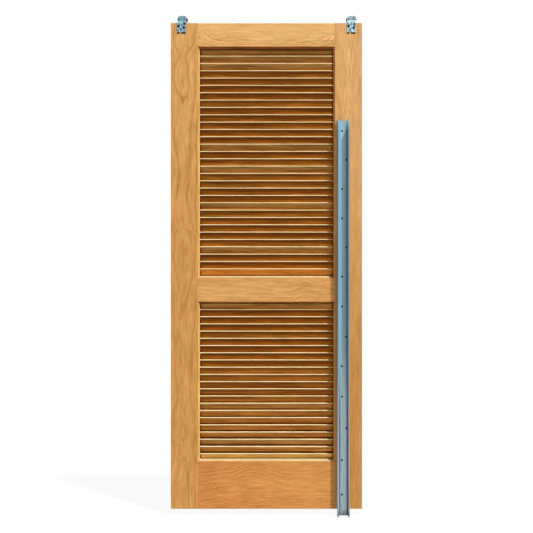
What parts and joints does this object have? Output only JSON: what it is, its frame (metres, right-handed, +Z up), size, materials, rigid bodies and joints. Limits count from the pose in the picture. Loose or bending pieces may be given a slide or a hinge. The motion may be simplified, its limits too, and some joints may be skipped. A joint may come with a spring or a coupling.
{
  "type": "louvered closet door",
  "caption": "Wooden closet door with fixed slats above and below a middle rail, wheeled hanger plates on its top corners and a lipped steel track lying along one stile.",
  "frame": {"origin": "middle of the door's bottom edge, halfway through its thickness", "axes": "+X to the right as seen from the hanger side, +Y through the door away from the hanger side, +Z up"},
  "size_m": [0.8, 0.0607, 2.09],
  "materials": {
    "pine_frame": "satin clear varnish",
    "pine_louvre": "satin clear varnish",
    "dowel_wood": "bare",
    "zinc_plate": "zinc plated",
    "zinc_screw": "zinc plated",
    "wheel_nylon": "moulded",
    "track_steel": "galvanised"
  },
  "bodies": {
    "door": {"left_stile": "pine_frame", "right_stile": "pine_frame", "bottom_rail": "pine_frame", "mid_rail": "pine_frame", "top_rail": "pine_frame", "bottom_rail_left_dowel_1": "dowel_wood", "bottom_rail_left_dowel_2": "dowel_wood", "bottom_rail_right_dowel_1": "dowel_wood", "bottom_rail_right_dowel_2": "dowel_wood", "mid_rail_left_dowel_1": "dowel_wood", "mid_rail_left_dowel_2": "dowel_wood", "mid_rail_right_dowel_1": "dowel_wood", "mid_rail_right_dowel_2": "dowel_wood", "top_rail_left_dowel_1": "dowel_wood", "top_rail_left_dowel_2": "dowel_wood", "top_rail_right_dowel_1": "dowel_wood", "top_rail_right_dowel_2": "dowel_wood", "lower_louvres_01": "pine_louvre", "lower_louvres_02": "pine_louvre", "lower_louvres_03": "pine_louvre", "lower_louvres_04": "pine_louvre", "lower_louvres_05": "pine_louvre", "lower_louvres_06": "pine_louvre", "lower_louvres_07": "pine_louvre", "lower_louvres_08": "pine_louvre", "lower_louvres_09": "pine_louvre", "lower_louvres_10": "pine_louvre", "lower_louvres_11": "pine_louvre", "upper_louvres_01": "pine_louvre", "upper_louvres_02": "pine_louvre", "upper_louvres_03": "pine_louvre", "upper_louvres_04": "pine_louvre", "upper_louvres_05": "pine_louvre", "upper_louvres_06": "pine_louvre", "upper_louvres_07": "pine_louvre", "upper_louvres_08": "pine_louvre", "upper_louvres_09": "pine_louvre", "upper_louvres_10": "pine_louvre", "upper_louvres_11": "pine_louvre", "upper_louvres_12": "pine_louvre", "upper_louvres_13": "pine_louvre", "upper_louvres_14": "pine_louvre", "upper_louvres_15": "pine_louvre", "upper_louvres_16": "pine_louvre", "left_hanger_screw_1": "zinc_screw", "left_hanger_screw_2": "zinc_screw", "right_hanger_screw_1": "zinc_screw", "right_hanger_screw_2": "zinc_screw"},
    "left_hanger": {"left_hanger_plate": "zinc_plate", "left_hanger_rivet_1": "zinc_plate", "left_hanger_rivet_2": "zinc_plate"},
    "left_wheel_1": {"left_hanger_wheel_1": "wheel_nylon"},
    "left_wheel_2": {"left_hanger_wheel_2": "wheel_nylon"},
    "right_hanger": {"right_hanger_plate": "zinc_plate", "right_hanger_rivet_1": "zinc_plate", "right_hanger_rivet_2": "zinc_plate"},
    "right_wheel_1": {"right_hanger_wheel_1": "wheel_nylon"},
    "right_wheel_2": {"right_hanger_wheel_2": "wheel_nylon"},
    "track": {"track": "track_steel"}
  },
  "joints": [
    {"name": "left_hanger_adjust", "type": "slide", "parent": "door", "child": "left_hanger", "axis": [0, 0, 1], "range_m": [-0.004, 0.006]},
    {"name": "left_wheel_1_spin", "type": "hinge", "parent": "left_hanger", "child": "left_wheel_1", "pos_m": [-0.3646, 0.0025, 2.0516], "axis": [0, 1, 0], "continuous": true},
    {"name": "left_wheel_2_spin", "type": "hinge", "parent": "left_hanger", "child": "left_wheel_2", "pos_m": [-0.3414, 0.0025, 2.0516], "axis": [0, 1, 0], "continuous": true},
    {"name": "right_hanger_adjust", "type": "slide", "parent": "door", "child": "right_hanger", "axis": [0, 0, 1], "range_m": [-0.004, 0.006]},
    {"name": "right_wheel_1_spin", "type": "hinge", "parent": "right_hanger", "child": "right_wheel_1", "pos_m": [0.3454, 0.0025, 2.0516], "axis": [0, 1, 0], "continuous": true},
    {"name": "right_wheel_2_spin", "type": "hinge", "parent": "right_hanger", "child": "right_wheel_2", "pos_m": [0.3686, 0.0025, 2.0516], "axis": [0, 1, 0], "continuous": true},
    {"name": "track_lift_off", "type": "slide", "parent": "door", "child": "track", "axis": [0, -1, 0], "range_m": [0, 0.3]}
  ]
}
